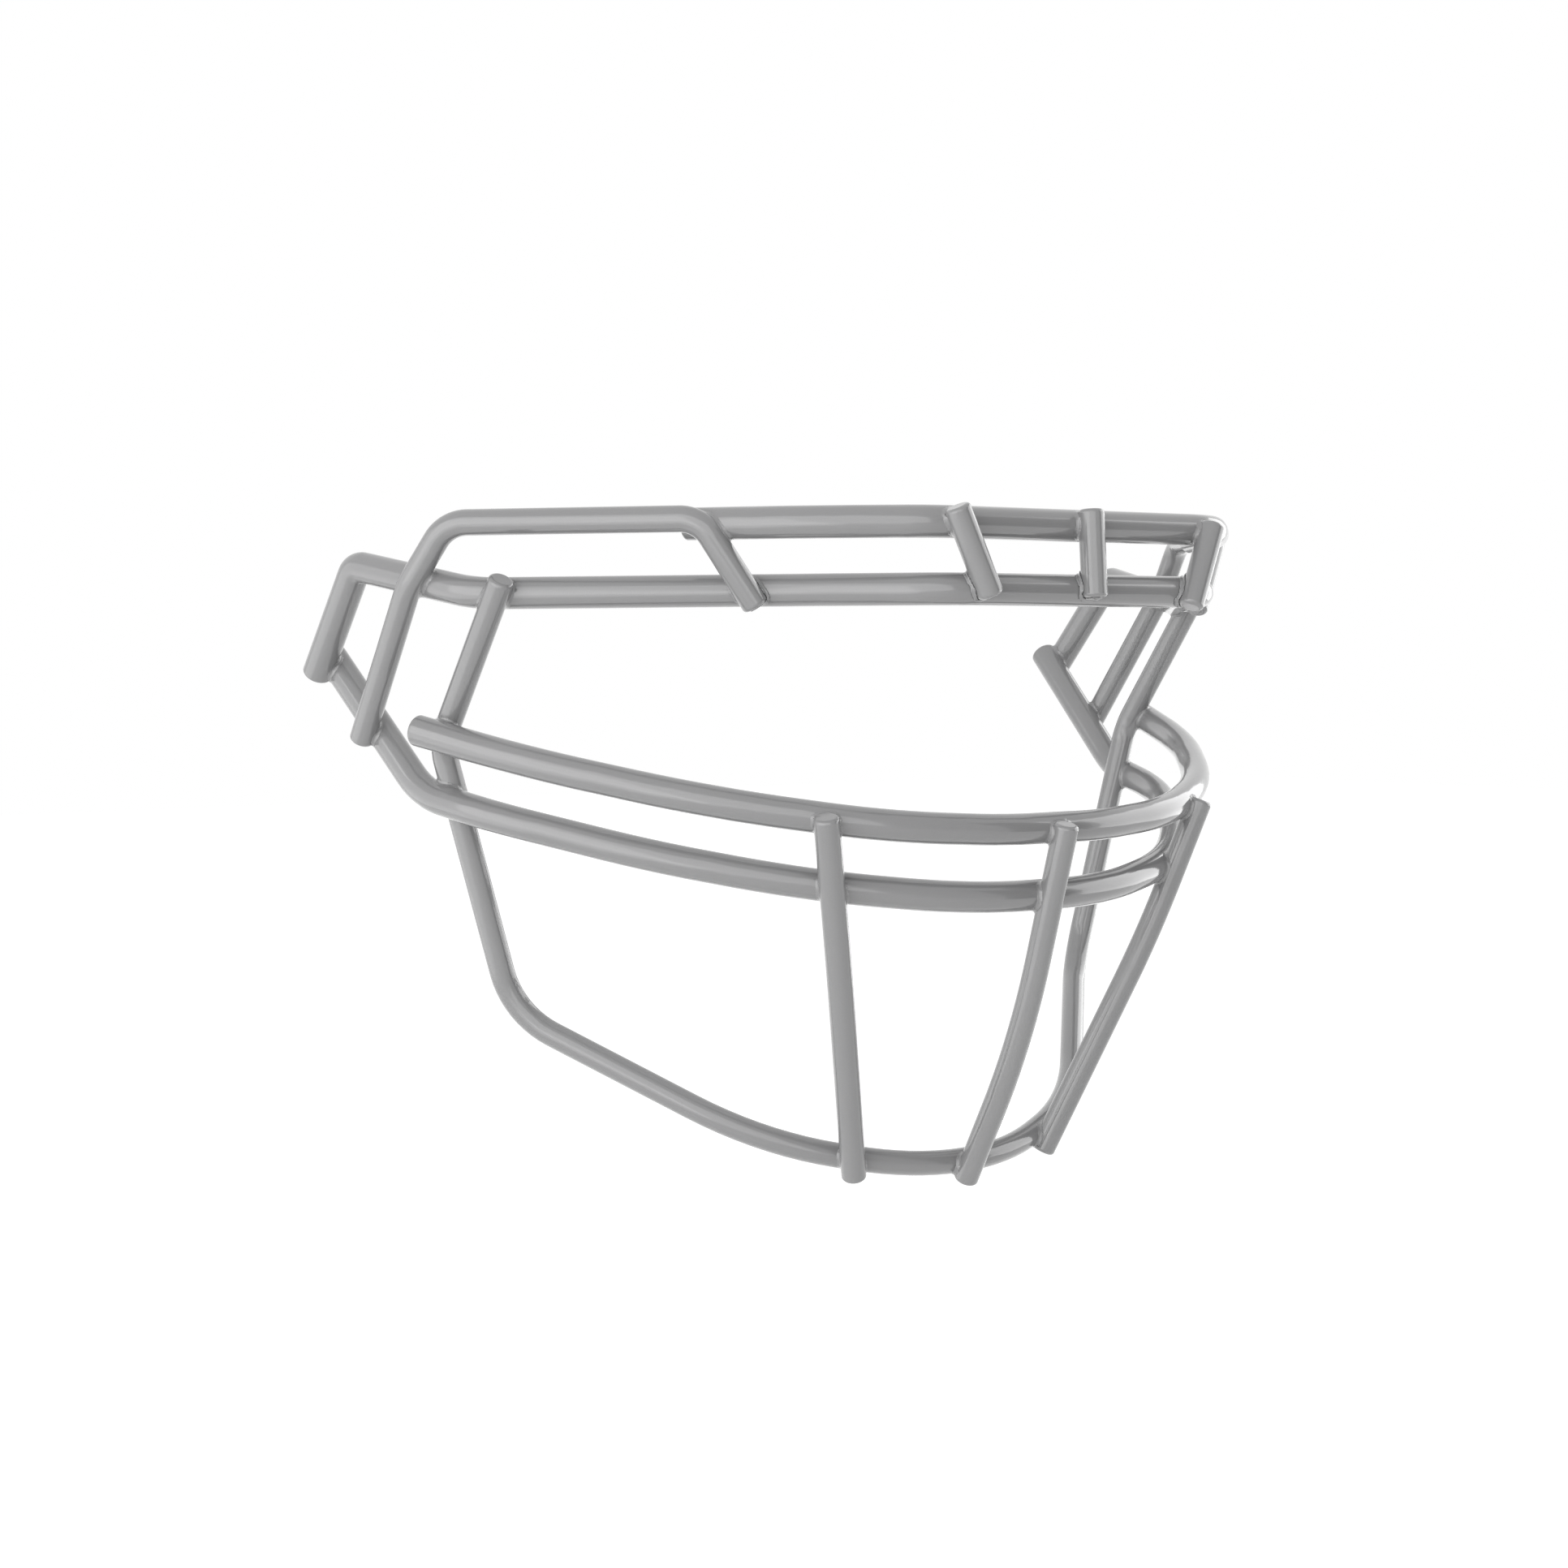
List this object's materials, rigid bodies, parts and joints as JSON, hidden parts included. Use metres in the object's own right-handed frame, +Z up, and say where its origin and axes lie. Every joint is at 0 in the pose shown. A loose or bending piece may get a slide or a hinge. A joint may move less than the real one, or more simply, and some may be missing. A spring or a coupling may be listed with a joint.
{
  "type": "football helmet facemask",
  "caption": "Welded wire cage face guard for a football helmet: brow bars, raked mid bars, a jaw wire, side loops and front bars, under a smooth polymer coat.",
  "frame": {"origin": "centre of the cage's bounding box", "axes": "+X towards the wearer's left, -Y towards the front of the face, +Z up; X=0 is the plane of symmetry"},
  "size_m": [0.2412, 0.1426, 0.1548],
  "materials": {
    "coat": "semi-gloss dipped polymer coat",
    "steel": "drawn wire, hidden under the coat"
  },
  "bodies": {
    "root": {"upper_brow_bar_core": "steel", "upper_brow_bar_coat": "coat", "lower_brow_bar_core": "steel", "lower_brow_bar_coat": "coat", "upper_mid_bar_core": "steel", "upper_mid_bar_coat": "coat", "lower_mid_bar_core": "steel", "lower_mid_bar_coat": "coat", "lower_frame_wire_core": "steel", "lower_frame_wire_coat": "coat", "side_guard_left_core": "steel", "side_guard_left_coat": "coat", "side_guard_right_core": "steel", "side_guard_right_coat": "coat", "brow_strut_left_core": "steel", "brow_strut_left_coat": "coat", "brow_strut_centre_core": "steel", "brow_strut_centre_coat": "coat", "brow_strut_right_core": "steel", "brow_strut_right_coat": "coat", "front_bar_left_core": "steel", "front_bar_left_coat": "coat", "front_bar_centre_core": "steel", "front_bar_centre_coat": "coat", "front_bar_right_core": "steel", "front_bar_right_coat": "coat"}
  },
  "joints": []
}
